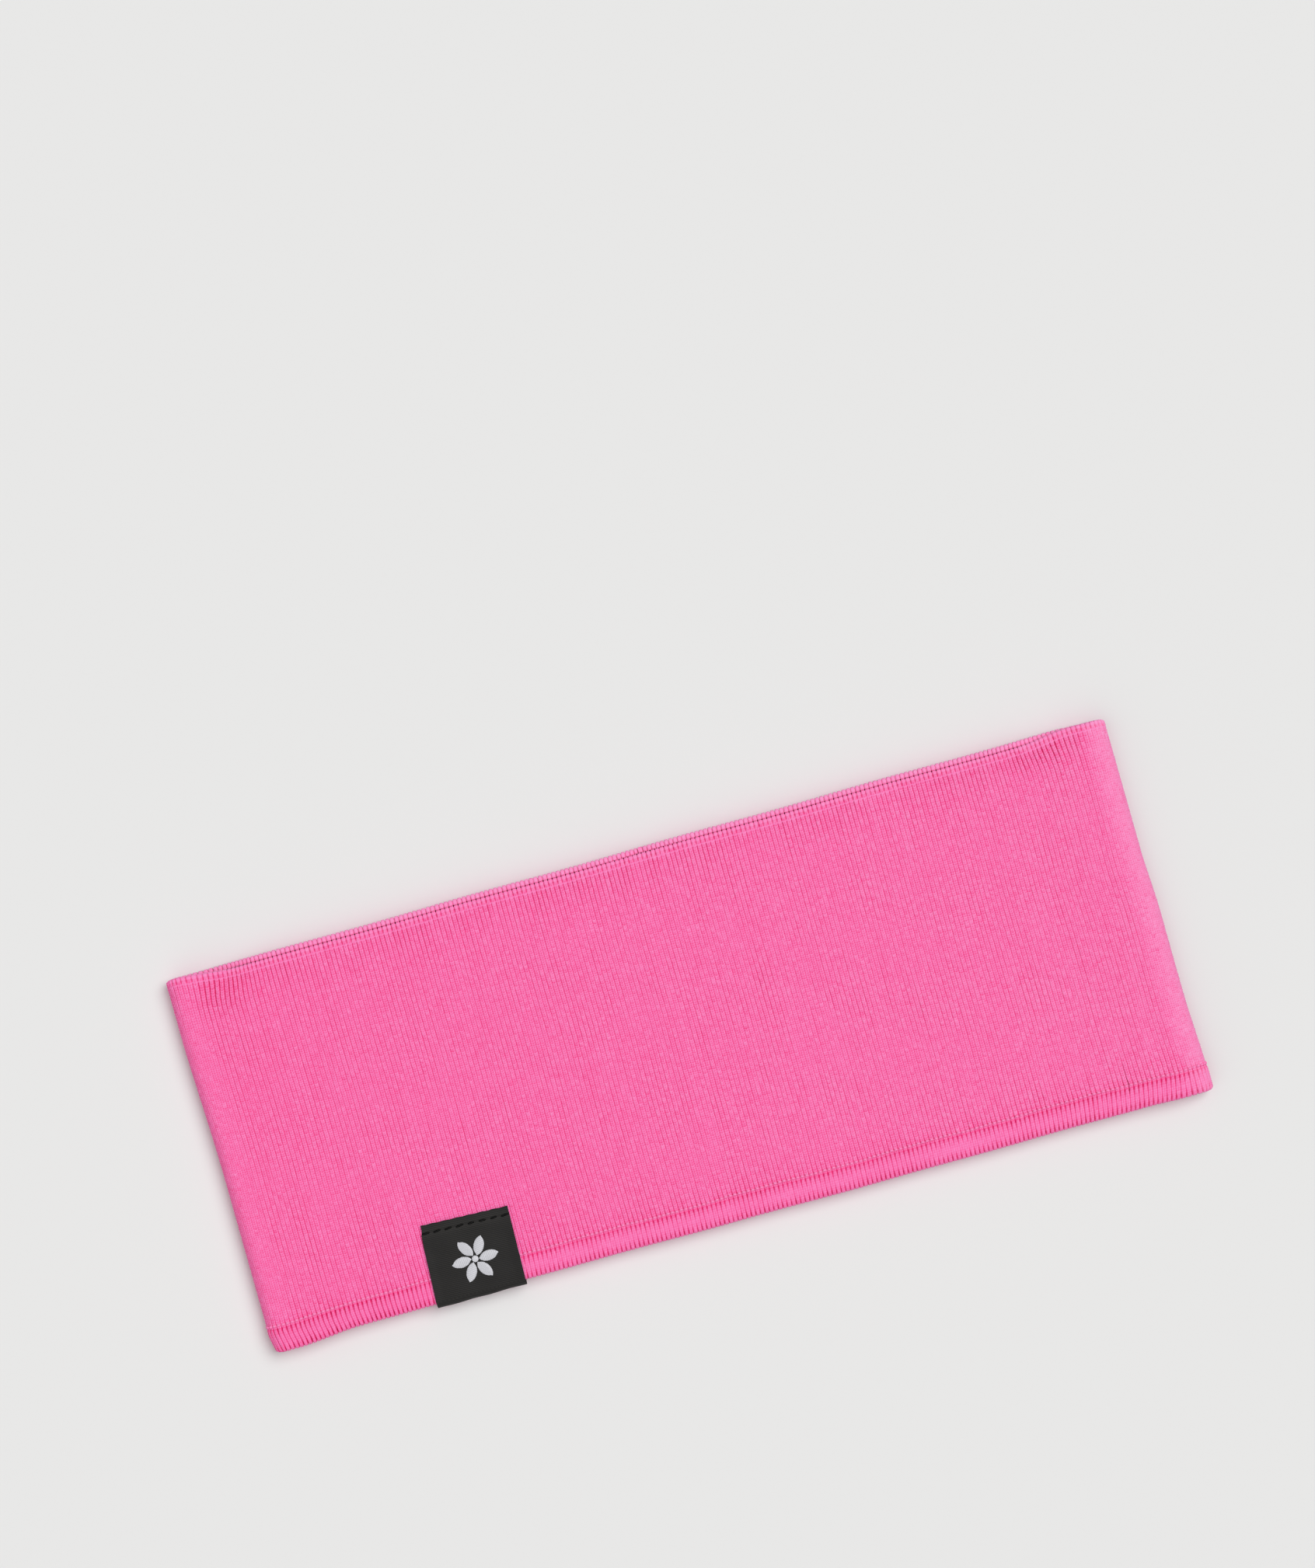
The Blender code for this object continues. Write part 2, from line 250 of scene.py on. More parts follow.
KNIT = yarn_material("pink_fine_knit", light=(1.0, 0.246, 0.562),
                     deep_and_shade=(0.90, 0.032, 0.22), pale_and_lit=(1.0, 0.46, 0.74))
LINING = yarn_material("pink_lining_knit", light=(0.97, 0.185, 0.46),
                       deep_and_shade=(0.82, 0.03, 0.20), pale_and_lit=(1.0, 0.36, 0.64))
THREAD = yarn_material("pink_linking_yarn", light=(1.0, 0.26, 0.56),
                       deep_and_shade=(0.86, 0.05, 0.25), pale_and_lit=(1.0, 0.46, 0.72), rough=0.8)
TWILL = label_material()
BLACK = lustre_material("black_polyester_thread", light=(0.0035, 0.0033, 0.0033),
                        deep_and_shade=(0.001, 0.001, 0.001), rough=0.55, specular=0.15)
SILVER = lustre_material("silver_rayon_thread", light=(0.74, 0.74, 0.78),
                         deep_and_shade=(0.40, 0.40, 0.44), rough=0.42, specular=0.6, contrast=0.8)


# ---------------------------------------------------------------- mesh builders
def closed_body(points):
    """Vertices, face corners and face sizes of rings joined up and capped.

    points is (columns, ring, 3), and each ring closes on itself."""
    count, ring = points.shape[:2]
    column = np.arange(count - 1)[:, None] * ring
    here = np.arange(ring)[None, :]
    after = (here + 1) % ring
    quads = np.stack([column + here, column + ring + here,
                      column + ring + after, column + after], -1).reshape(-1, 4)
    verts = points.reshape(-1, 3)
    a, b, c, d = (verts[quads[:, corner]] for corner in range(4))
    volume = (a * (np.cross(b, c) + np.cross(c, d))).sum()
    first = np.arange(ring)
    last = (count - 1) * ring + first
    for cap, turn in ((first, 1), (last, -1)):
        spokes = np.cross(verts[cap], verts[np.roll(cap, -1)])
        volume += turn * (verts[cap].mean(0) * spokes).sum()
    caps = [first, last[::-1]]
    if volume < 0:                             # inside out
        quads = quads[:, ::-1]
        caps = [cap[::-1] for cap in caps]
    corners = np.concatenate([quads.ravel(), *caps])
    return verts, corners, np.append(np.full(len(quads), 4), [ring, ring])


def mesh_object(name, bodies, material, tone_and_painted_light=0.5, sharp_ends=False):
    """One object from closed bodies, each given as (points, hollow)."""
    parts = []
    base = 0
    for points, hollow_shade in bodies:
        verts, corners, sizes = closed_body(points)
        values = [np.broadcast_to(v, points.shape[:2]).ravel() for v in (hollow_shade, tone_and_painted_light)]
        parts.append((verts, corners + base, sizes, *values))
        base += len(verts)
    verts, corners, sizes, hollow_shade, tone_and_painted_light = (np.concatenate(column) for column in zip(*parts))
    mesh = bpy.data.meshes.new(name)
    mesh.vertices.add(len(verts))
    mesh.vertices.foreach_set("co", verts.astype(np.float32).ravel())
    mesh.loops.add(len(corners))
    mesh.loops.foreach_set("vertex_index", corners.astype(np.int32))
    mesh.polygons.add(len(sizes))
    mesh.polygons.foreach_set("loop_start", (np.cumsum(sizes) - sizes).astype(np.int32))
    mesh.polygons.foreach_set("loop_total", sizes.astype(np.int32))
    mesh.update(calc_edges=True)
    mesh.polygons.foreach_set("use_smooth", np.ones(len(sizes), bool))
    if sharp_ends:
        edges = np.empty(len(mesh.edges) * 2, np.int32)
        mesh.edges.foreach_get("vertices", edges)
        column = edges.reshape(-1, 2) // bodies[0][0].shape[1]
        start, end = column.T
        sharp = (start == end) & ((start == 0) | (start == column.max()))
        mesh.attributes.new("sharp_edge", "BOOLEAN", "EDGE").data.foreach_set("value", sharp)
    for key, value in (("hollow_shade", hollow_shade), ("tone_and_painted_light", tone_and_painted_light)):
        layer = mesh.attributes.new(key, "FLOAT", "POINT")
        layer.data.foreach_set("value", value.astype(np.float32))
    mesh.materials.append(material)
    obj = bpy.data.objects.new(name, mesh)
    bpy.context.scene.collection.objects.link(obj)
    return obj


def tube(path, radius, sides=6, squash=1.0):
    """Rings round a path (n, 3); radius may vary along it."""
    radius = np.broadcast_to(radius, len(path))[:, None, None]
    run = np.gradient(path, axis=0)
    run /= np.linalg.norm(run, axis=1)[:, None] + 1e-12
    side = np.cross(run, (0.0, 0.0, 1.0))
    side /= np.linalg.norm(side, axis=1)[:, None] + 1e-12
    up = np.cross(side, run)
    angle = (TAU * np.arange(sides) / sides)[None, :, None]
    return (path[:, None] + side[:, None] * (np.cos(angle) * radius)
            + up[:, None] * (np.sin(angle) * radius * squash))


def stack_xyz(x, y, z):
    return np.stack(np.broadcast_arrays(x, y, z), -1)


# ------------------------------------------------------------ the cloth's shape
def field(x, y, seed, waves, low, high):
    """Smooth patchy noise, about -1 to 1; wave lengths run from low to high mm."""
    rng = np.random.default_rng(seed)
    total = 0.0
    for _ in range(waves):
        length = rng.uniform(low, high) * MM
        turn = rng.uniform(0, TAU)
        phase = rng.uniform(0, TAU)
        total = total + np.sin(TAU * (x * math.cos(turn) + y * math.sin(turn)) / length + phase)
    return total / math.sqrt(waves)


def link_line(along):
    """Height of the linking line above the hem, gently uneven."""
    fade = 1 - ramp(110, 119, np.abs(along))
    return HEM + 6.15 * MM + fade * (0.09 * MM * ripple(along, 41, 0.7)
                                     + 0.05 * MM * ripple(along, 13.3, 2.1))


def fold_turn(out):
    """Angle turned round the side fold at a distance from the centre."""
    return np.clip((out - FOLD_X) / FOLD_R, 0, math.pi / 2)


def top_rise(panel, along):
    """The front's top edge lies lower in the middle and meets the back's at the folds."""
    out = np.abs(along)
    rise = 0.0
    if panel == "front":
        gap = TOP["back"] - TOP["front"]
        start = np.where(along < 0, 103.0 * MM, 97.0 * MM)
        stop = np.where(along < 0, 118.0 * MM, 113.5 * MM)
        rise = FRONT_LIFT + (gap - FRONT_LIFT) * smooth(start, stop, out)
    wander = (1 - ramp(112, 119, out)) * 0.09 * MM * ripple(along, 52, 0.4)
    droop = 0.45 * MM * (1 - np.cos(fold_turn(out)))
    return rise + wander - droop + 0.08 * MM - 0.34 * MM * ramp(106, 115, along)


def hem_rise(along):
    out = np.abs(along)
    lift = 0.15 * MM * (1 - np.cos(fold_turn(out)))
    sway = 0.14 * MM - 0.66 * MM * ramp(-70, 50, along)
    sway = sway - 1.0 * MM * (1 - ramp(-114, -97, along)) - 0.34 * MM * ramp(104, 115, along)
    return lift + sway + 0.05 * MM * ripple(along, 37) * (1 - ramp(100, 116, out))


def fold_drop(along):
    """How far the cloth's face falls below a circular fold; the right fold is rounder."""
    out = np.abs(along)
    turn = fold_turn(out)
    x = np.minimum(out, FOLD_X) + FOLD_R * np.sin(turn)
    wide = np.where(along > 0, 8.5 * MM, 4.2 * MM)
    beyond = np.clip(x - (HALF - wide), 0, None) / wide
    oval = FOLD_R * np.sqrt(np.clip(1 - beyond ** 2, 0, 1))
    return FOLD_R * np.cos(turn) - oval


def swell(panel, along, y, depth=0.0):
    """Height added by the panel's mid-scale shape."""
    out = np.abs(along)
    drop = fold_drop(along) * np.clip((FOLD_R - depth) / FOLD_R, 0, 1)
    if panel == "back":
        # the lip that stands up above the front's top edge: steep on its inner side
        edge = TOP["front"] + 0.36 * MM + 0.09 * MM * ripple(along, 52, 0.4)
        steep = (0.86 * smooth(edge - 0.04 * MM, edge + 0.04 * MM, y)
                 + 0.14 * smooth(edge, edge + 0.4 * MM, y))
        gentle = smooth(edge - 1.6 * MM, edge + 1.2 * MM, y)
        lip = gentle + (steep - gentle) * smooth(SHEET, SHEET + 0.3 * MM, depth)
        ends = 1 - ramp(92, 113, out)
        return drop + 2.75 * MM * lip * ends * (1 - 0.35 * hump(along, 0, 3))
    sunk = -0.62 * MM * (1 - ramp(90, 114, out))
    inner = 1 - smooth(104 * MM, FOLD_X + 0.2 * MM, out)
    uneven = 0.070 * MM * inner * field(along, y, seed=11, waves=9, low=24.0, high=60.0)
    # a bulge and a dent under each top corner
    bulge = 0.45 * MM * hump(out, 106.5, 3.4) * hump(y, 40.0, 3.2)
    dent = -0.40 * MM * hump(out, 110.0, 3.0) * hump(y, 44.6, 2.0)
    return sunk + uneven + inner * (bulge + dent) - drop


def sideways(along, climb):
    """Ribs lean: in the hem, and where they fan out under the top corners."""
    fade = 1 - ramp(111, 118, np.abs(along))
    below = np.minimum(climb - link_line(along), 0.0)
    lean = 0.045 + 0.17 * ramp(60, 112, along) - 0.03 * ramp(60, 112, -along)
    fan = np.where(along < 0, -1.25 * MM * hump(along, -107, 8),
                   0.70 * MM * hump(along, 102.5, 8.5))
    wander = 0.10 * MM * field(along * 0.35, climb, seed=5, waves=5, low=18.0, high=44.0)
    return fade * (lean * below - fan * ramp(37, 46, climb) + wander)


def side_set(along, y):
    """The side folds are not quite straight: each wanders a little with height."""
    left = (-0.85 * MM * ramp(-4, 36, y) - 0.08 * MM
            + 0.75 * MM * (1 - ramp(-48.0, -42.5, y)))
    right = 0.70 * MM * (1 - ramp(-45, -22, y)) - 0.05 * MM - 0.55 * MM * ramp(-2, 14, y)
    return ramp(66, 116, np.abs(along)) * np.where(along < 0, left, right)


def place(panel, along, y, depth, lift=0.0, hook=False):
    """Cloth coordinates to metres; lift is added to z.

    With hook, the cloth past along = 0 curls up about the seam at the centre back."""
    out = np.abs(along)
    turn = np.clip((out - FOLD_X) / FOLD_R, 0.0, 10.0)
    radius = FOLD_R - depth
    x = np.sign(along) * (np.minimum(out, FOLD_X) + radius * np.sin(turn))
    x = x + side_set(along, y)
    rise = radius * np.cos(turn)
    z = MID_Z + rise if panel == "front" else MID_Z - rise
    if hook:
        curl = np.clip(along, 0, None) / PANEL
        arm = np.maximum(PANEL - depth - 0.22 * MM * smooth(0, 0.2, curl), 0.06 * MM)
        x = np.where(along > 0, arm * np.sin(curl), x)
        z = np.where(along > 0, PANEL - arm * np.cos(curl), z)
    return stack_xyz(x, y, z + lift)


def warp_y(panel, along, y):
    """Carries the rises of the top edge and the hem into the cloth near them."""
    top = TOP[panel]
    upper = smooth(top - 16 * MM, top - 1.5 * MM, y)
    lower = 1 - smooth(HEM + 1.5 * MM, HEM + 14 * MM, y)
    return y + upper * top_rise(panel, along) + lower * hem_rise(along)


# ------------------------------------------------------------------- the knit
# Six columns of points across each wale (an upright rib of stitches).
PHASES = np.array([0.0, 0.14, 0.33, 0.5, 0.67, 0.86])    # place across the wale
GROOVE = np.array([1.0, 0.22, 0.0, 0.0, 0.0, 0.22])      # groove between wales
VALLEY = np.array([0.0, 0.0, 0.15, 1.0, 0.15, 0.0])      # dip down the middle
LEG = np.array([0.25, 0.9, 1.0, 0.45, 1.0, 0.9])         # fullness of the stitch legs
CHEVRON = np.array([0.0, 0.42, 0.82, 1.0, 0.82, 0.42])   # how far the V sags
SIDE = np.array([0, 0, 0, 0, 1, 1])                      # which leg's random numbers
PICK = np.arange(6)
SLIVER = 0.14                                  # of a wale, carried past a meeting
SLOTS = 400                                    # wales that have random numbers


def columns(start, end, wales, first_wale, tuck):
    """Place along, part of the wale, wale number and depth tucked, for every column.

    A length that meets another one carries a sliver past the groove they share,
    tucked just under its neighbour, so the shading runs on without a seam."""
    edges = np.linspace(start, end, wales + 1)
    pitch = edges[1] - edges[0]
    along = np.append((edges[:-1, None] + PHASES[PICK] * pitch).ravel(), end)
    part = np.append(np.tile(PICK, wales), 0)
    wale = first_wale + np.append(np.repeat(np.arange(wales), len(PICK)), wales)
    sink = np.zeros(len(along))
    if tuck[0]:
        along = np.append(start - SLIVER * pitch, along)
        part = np.append(5, part)
        wale = np.append(first_wale - 1, wale)
        sink = np.append(0.06 * MM, sink)
    if tuck[1]:
        along = np.append(along, end + SLIVER * pitch)
        part = np.append(part, 1)
        wale = np.append(wale, first_wale + wales)
        sink = np.append(sink, 0.06 * MM)
    return along, part, wale, sink


def squarish(value, power):
    return math.copysign(abs(value) ** power, value)


def outer_rows(top):
    """Visible path round the outer knit: hem leg, hem roll, face, top roll, top leg.

    Columns: y, depth, normal y, normal depth, climb, course phase, course.
    The phase is -1 off the face."""
    rows = []
    r = ROLL_R
    low, high = HEM + r, top - r               # where the face meets the rolls
    for y in np.arange(HEM + HEM_LEG, low, -0.6 * MM):
        rows.append((y, PANEL, 0, 1, low - math.pi * r - (y - HEM - r), -1, 0))
    steps = 20
    for i in range(steps):
        angle = math.pi * i / steps
        sin, cos = math.sin(angle), math.cos(angle)
        rows.append((low - r * squarish(sin, 0.85), r + r * squarish(cos, 0.85),
                     -sin, cos, low - r * (math.pi - angle), -1, 0))
    per_course = 2
    count = int(round((top - HEM - 2 * r) / COURSE))
    for i, y in enumerate(np.linspace(low, high, count * per_course + 1)[:-1]):
        rows.append((y, 0, 0, -1, y, i % 2, i // per_course))
    for i in range(steps):                     # rows crowd at the roll's quarter points
        quarters = 2.0 * i / steps
        whole = int(quarters)
        eased = whole + (1 - math.cos(math.pi * (quarters - whole))) / 2
        angle = math.pi / 2 * eased
        sin, cos = math.sin(angle), math.cos(angle)
        rows.append((high + r * squarish(sin, 0.62), r - r * squarish(cos, 0.62),
                     sin, -cos, high + r * math.pi / 2 * quarters, -1, 0))
    leg = list(np.arange(high, top - TOP_LEG, -0.6 * MM))
    if top == TOP["back"]:                     # the step beside the front's edge
        leg = sorted(leg + [TOP["front"] + row * MM for row in LIP_ROWS], reverse=True)
    for y in leg + [top - TOP_LEG]:
        rows.append((y, PANEL, 0, 1, high + math.pi * r + (high - y), -1, 0))
    return np.array(rows, float)


def hidden_rows(top):
    """y and depth of the outer knit's side that faces the lining; closes the section."""
    inner = PANEL - 0.9 * MM
    gap = 0.15 * MM
    low, high = HEM + ROLL_R, top - ROLL_R
    rows = [(top - TOP_LEG, inner)]
    if top == TOP["back"]:
        rows += [(TOP["front"] + row * MM, inner) for row in LIP_ROWS]
    rows += [(high, inner), (high + gap, SHEET + gap), (high, SHEET)]
    if top == TOP["back"]:
        rows += [(high - down * MM, SHEET) for down in (0.4, 0.8, 1.2, 1.6, 2.0, 2.6)]
    rows += [(y, SHEET) for y in np.linspace(high, low, 10)[1:-1]]
    rows += [(low, SHEET), (low - gap, SHEET + gap), (low, inner), (HEM + HEM_LEG, inner)]
    return np.array(rows, float)


def stitch_randoms(seed, part, wale, climb):
    """Random scale of each wale, and noise for each stitch and each of its legs."""
    rng = np.random.default_rng(seed)
    scale = np.clip(rng.normal(1.0, 0.08, SLOTS), 0.5, 1.5)[wale]
    stretches = rng.normal(0.0, 1.0, (SLOTS, 30))
    at = np.clip((climb - HEM + 12 * MM) / (4.5 * MM), 0, 28)
    stretch = at.astype(int)
    slot = wale % SLOTS
    mix = smooth(0, 1, at - stretch)
    scale = scale + 0.10 * (stretches[slot, stretch] * (1 - mix)
                            + stretches[slot, stretch + 1] * mix)
    stitches = rng.normal(0.0, 1.0, (SLOTS, 260))
    legs = rng.normal(0.0, 1.0, (2, SLOTS, 260))
    cell = (np.floor((climb - HEM) / COURSE) + 20).astype(int) % 260
    return np.clip(scale, 0.35, 1.8), stitches[slot, cell], legs[SIDE[part], slot, cell]


def relief(panel, along, part, wale, climb, phase):
    """Height of the knit above its base surface, its painted shade in the hollows, and its tone,
    which carries painted light as well as random variation.
    """
    top = TOP[panel]
    front = panel == "front"
    out = np.abs(along)
    seed = 21 if front else 22
    scale, stitch_noise, leg_noise = stitch_randoms(seed, part, wale, climb)
    groove, valley, leg = GROOVE[part], VALLEY[part], LEG[part]

    # zones up the panel: hem, plain knit, a ridge, and the edge above the ridge
    link = link_line(along)
    hem = 1 - smooth(link - 0.40 * MM, link - 0.05 * MM, climb)
    ridge_at = top - (2.0 if front else 1.5) * MM
    edge = smooth(ridge_at + 0.15 * MM, ridge_at + 0.45 * MM, climb)
    ridge = bell(climb, ridge_at, 0.26 * MM)
    rim = smooth(top - 1.05 * MM, top - 0.65 * MM, climb) if front else 0.0
    row = bell(climb, top - 1.42 * MM, 0.30 * MM) if front else 0.0
    below_top = np.maximum(ridge_at - climb, 0.0)
    above_link = np.maximum(climb - link, 0.0)
    plain = (1 - hem) * (1 - edge)
    patch = field(along, climb, seed, waves=16, low=7.0, high=30.0)
    uneven = field(along, 0 * climb, seed=31, waves=9, low=5.0, high=40.0)

    # depth of the grooves between wales: plain knit, deeper near its two ends
    depth = 0.275 * MM + 0.030 * MM * patch
    depth = depth + 0.21 * MM * np.exp(-(below_top / (6.0 * MM)) ** 1.6) * (1 + 0.35 * uneven)
    depth = depth + 0.18 * MM * np.exp(-(above_link / (3.4 * MM)) ** 1.5)
    if front:                                  # and where the ribs fan out
        fan = np.where(along < 0, 0.40 * MM * hump(along, -108.0, 6.5),
                       0.26 * MM * hump(along, 102.5, 8.5))
        fan_start = np.where(along < 0, 34.0, 38.0) * MM
        depth = depth + fan * smooth(fan_start, 42 * MM, climb)
    depth = depth * (1 - 0.50 * ramp(111, 116, out)) * plain * (1 - 0.8 * ridge)
    # in the hem
    hem_depth = (0.17 + np.where(along < 0, 0.20, 0.06) * ramp(62, 100, out)) * MM
    hem_depth = hem_depth + 0.05 * MM * field(along, 0 * climb, seed=41, waves=9,
                                              low=4.0, high=30.0)
    hem_depth = hem_depth + 0.62 * MM * bell(climb, HEM + 0.7 * MM, 1.05 * MM)
    hem_depth = hem_depth + 0.34 * MM * bell(climb, link - 1.0 * MM, 0.95 * MM)
    depth = depth + hem * hem_depth + edge * (0.50 - 0.16 * rim + 0.05 * row) * MM

    # grooves, and the valley down each wale
    height = -depth * groove * scale
    hem_valley = (0.10 + 0.05 * np.clip(leg_noise, -1, 1)) * MM
    height = height - valley * (0.130 * MM * plain + hem_valley * hem + 0.06 * MM * edge)
    # stitches: legs rise and fall with each course, with a dot between them
    on_face = phase >= 0
    wave = np.where(phase == 0, -1.0, 1.0)
    dot = np.where(phase == 0, 1.0, 0.0) * (groove + 0.7 * valley) * plain
    fade = (plain * (1 - 0.35 * np.exp(-below_top / (5 * MM)))
            * (1 - 0.25 * np.exp(-above_link / (3 * MM))) * (1 - 0.7 * ridge))
    height = height + np.where(on_face, 0.080 * MM * fade * leg * wave, 0.0) - 0.055 * MM * dot
    edge_wave = np.where(on_face, wave, np.cos(TAU * climb / COURSE))
    height = height + 0.050 * MM * (hem + edge) * leg * edge_wave
    height = height + ((0.012 * MM * plain + 0.020 * MM) * (0.6 * stitch_noise + 0.6 * leg_noise)
                       * np.where(on_face, 1.0, 0.8) * (1 - 0.7 * groove))
    # ridge under the top edge, scalloped trough under the linking, row in the edge
    height = height + 0.10 * MM * ridge * (1 - groove * 0.3)
    scallop = np.cos(TAU * PHASES[part])
    trough = bell(climb, link - (0.46 + 0.18 * scallop) * MM, 0.27 * MM)
    height = height - 0.24 * MM * trough * (0.28 + 0.90 * groove) - 0.06 * MM * row
    above_hem = 0.17 * MM * (1 - hem)          # all the cloth above the hem lies lower
    height = height - above_hem + 0.03 * MM * edge
    if not front:                              # the crease of the centre-back seam
        crease = hump(along, 0, 0.55) * (1 - 0.8 * smooth(top - 7 * MM, top - 3 * MM, climb))
        height = height - 0.38 * MM * crease

    # painted shade: the grooves, valleys, dots, the scalloped trough under the linking, the ticks
    # above it and the row in the edge are coloured deeper
    hollow_shade = -(height + above_hem) / (0.34 * MM) * (1 + 0.30 * hem)
    hollow_shade = hollow_shade + trough * (0.10 + 1.0 * groove) + 0.42 * dot + row * (0.18 + 0.4 * groove)
    hollow_shade = hollow_shade + 0.75 * groove * bell(climb, link + 0.75 * MM, 0.50 * MM)

    # tone: stitch by stitch and patchy; painted light makes it lighter to the right and on the
    # edge
    stitch_tone = np.where(on_face, 0.020 * stitch_noise + 0.048 * leg_noise, 0.04 * stitch_noise)
    tone_and_painted_light = 0.5 + stitch_tone * (1 - 0.4 * hem)
    # painted light: the along term makes the knit lighter towards the right
    tone_and_painted_light = tone_and_painted_light + 0.018 * patch * plain + 0.045 * np.clip(along / HALF, -1, 1)
    # painted light: the edge strip above the ridge is made lighter against its shade; the hem is
    # a little darker
    tone_and_painted_light = tone_and_painted_light + 0.10 * edge - 0.045 * hem
    # painted light: the back's roll and leg above its top edge are made lighter against the shade
    # there
    if not front:
        tone_and_painted_light = tone_and_painted_light + (0.20 * smooth(top + 0.6 * MM, top + 1.3 * MM, climb)
                       * (1 - smooth(top + 3.2 * MM, top + 3.9 * MM, climb)))
    # painted highlight on the right fold and painted shade on the left fold
    tone_and_painted_light = tone_and_painted_light + 0.26 * ramp(111.5, 119.8, along) - 0.10 * ramp(117.5, 120.5, -along)
    return height, np.clip(hollow_shade, 0.0, 1.0), np.clip(tone_and_painted_light, 0.0, 1.0)


def close_section(face, other, hollow_shade, tone_and_painted_light):
    """Joins two sides of a sheet into rings, with middling hollow and tone on the other."""
    rest = np.full(other.shape[:2], 0.5)
    hollow_shade, tone_and_painted_light = (np.concatenate([np.broadcast_to(value, face.shape[:2]), rest], axis=1)
                    for value in (hollow_shade, tone_and_painted_light))
    return np.concatenate([face, other], axis=1), hollow_shade, tone_and_painted_light


def knit_cloth(name, panel, start, end, wales, first_wale, tuck, hook):
    """A length of outer knit as one closed body."""
    top = TOP[panel]
    along, part, wale, sink = columns(start, end, wales, first_wale, tuck)
    if hook:                                   # the strip that curls up at the seam
        more = np.linspace(0.25, 1.7, 8) * MM
        along = np.append(along, end + more)
        part = np.append(part, [1, 2, 3, 4, 5, 0, 1, 2])
        wale = np.append(wale, wale[-1] + np.array([0, 0, 0, 0, 0, 1, 1, 1]))
        sink = np.append(sink, 0.0 * more)
    along, part, wale, sink = (v[:, None] for v in (along, part, wale, sink))
    y, depth, normal_y, normal_depth, climb, phase, course = (
        column[None, :] for column in outer_rows(top).T)
    height, hollow_shade, tone_and_painted_light = relief(panel, along, part, wale, climb, phase)
    height = height - sink
    link = link_line(along)
    plain = (smooth(link + 0.2 * MM, link + 0.9 * MM, climb)
             * (1 - smooth(top - 2.4 * MM, top - 1.7 * MM, climb)))
    # each row of stitches sags into a V, and single stitches stray up and sideways
    slot = wale % SLOTS
    row = course.astype(int) % 200
    sag = 1 + 0.25 * np.random.default_rng(77).normal(0, 1, SLOTS)[slot]
    loose = np.random.default_rng(78).normal(0, 1, (2, SLOTS, 200))
    chevron = (-0.28 * MM * CHEVRON[part] * plain * sag
               + 0.030 * MM * plain * loose[0][slot, row])
    chevron = np.where(phase >= 0, chevron, 0.0)
    stray = np.where((phase >= 0) & (sink == 0), 0.018 * MM * plain * loose[1][slot, row], 0.0)
    y = warp_y(panel, along, y) + normal_y * height + chevron
    face = place(panel, along + sideways(along, climb) + stray, y,
                 depth + normal_depth * height, swell(panel, along, y, depth), hook)
    y, depth = (column[None] for column in hidden_rows(top).T)
    y = warp_y(panel, along, y)
    hidden = place(panel, along, y, depth, swell(panel, along, y, depth), hook)
    points, hollow_shade, tone_and_painted_light = close_section(face, hidden, hollow_shade, tone_and_painted_light)
    return mesh_object(name, [(points, hollow_shade)], KNIT, tone_and_painted_light, sharp_ends=True)


def lining_cloth(name, panel, start, end, wales, seed):
    """A length of lining: its inner face shows the purl side's small bars."""
    low = HEM + HEM_LEG + 0.3 * MM
    high = TOP[panel] - TOP_LEG - 0.3 * MM
    edges = np.linspace(start, end, wales + 1)
    parts = np.array([0.0, 0.22, 0.5, 0.78])
    along = np.append((edges[:-1, None] + parts * (edges[1] - edges[0])).ravel(), end)[:, None]
    part = np.append(np.tile(parts, wales), 0.0)[:, None]
    count = int((high - low) / (0.4 * MM))
    y = np.linspace(low, high, count)[None]
    bars = np.cos(TAU * y / (0.8 * MM) + np.pi * (part > 0.4))
    rough = np.random.default_rng(seed).normal(0, 1, (len(along), count))
    height = -0.05 * MM * np.cos(TAU * part) - 0.05 * MM + 0.05 * MM * bars + 0.015 * MM * rough
    edge = np.minimum(smooth(low, low + 0.5 * MM, y), 1 - smooth(high - 0.5 * MM, high, y))
    height = height - 0.12 * MM * (1 - edge)
    inner = place(panel, along, warp_y(panel, along, y), LINING_INNER + height,
                  swell(panel, along, y, LINING_INNER))
    y = np.array([high, low])[None]
    outer = place(panel, along, warp_y(panel, along, y), LINING_OUTER,
                  swell(panel, along, y, LINING_OUTER))
    # painted shade: the lining is coloured deeper where its bars sink
    points, hollow_shade, tone_and_painted_light = close_section(inner, outer, np.clip(-height / (0.22 * MM), 0, 1),
                                         np.clip(0.5 + 0.08 * rough, 0, 1))
    return mesh_object(name, [(points, hollow_shade)], LINING, tone_and_painted_light, sharp_ends=True)


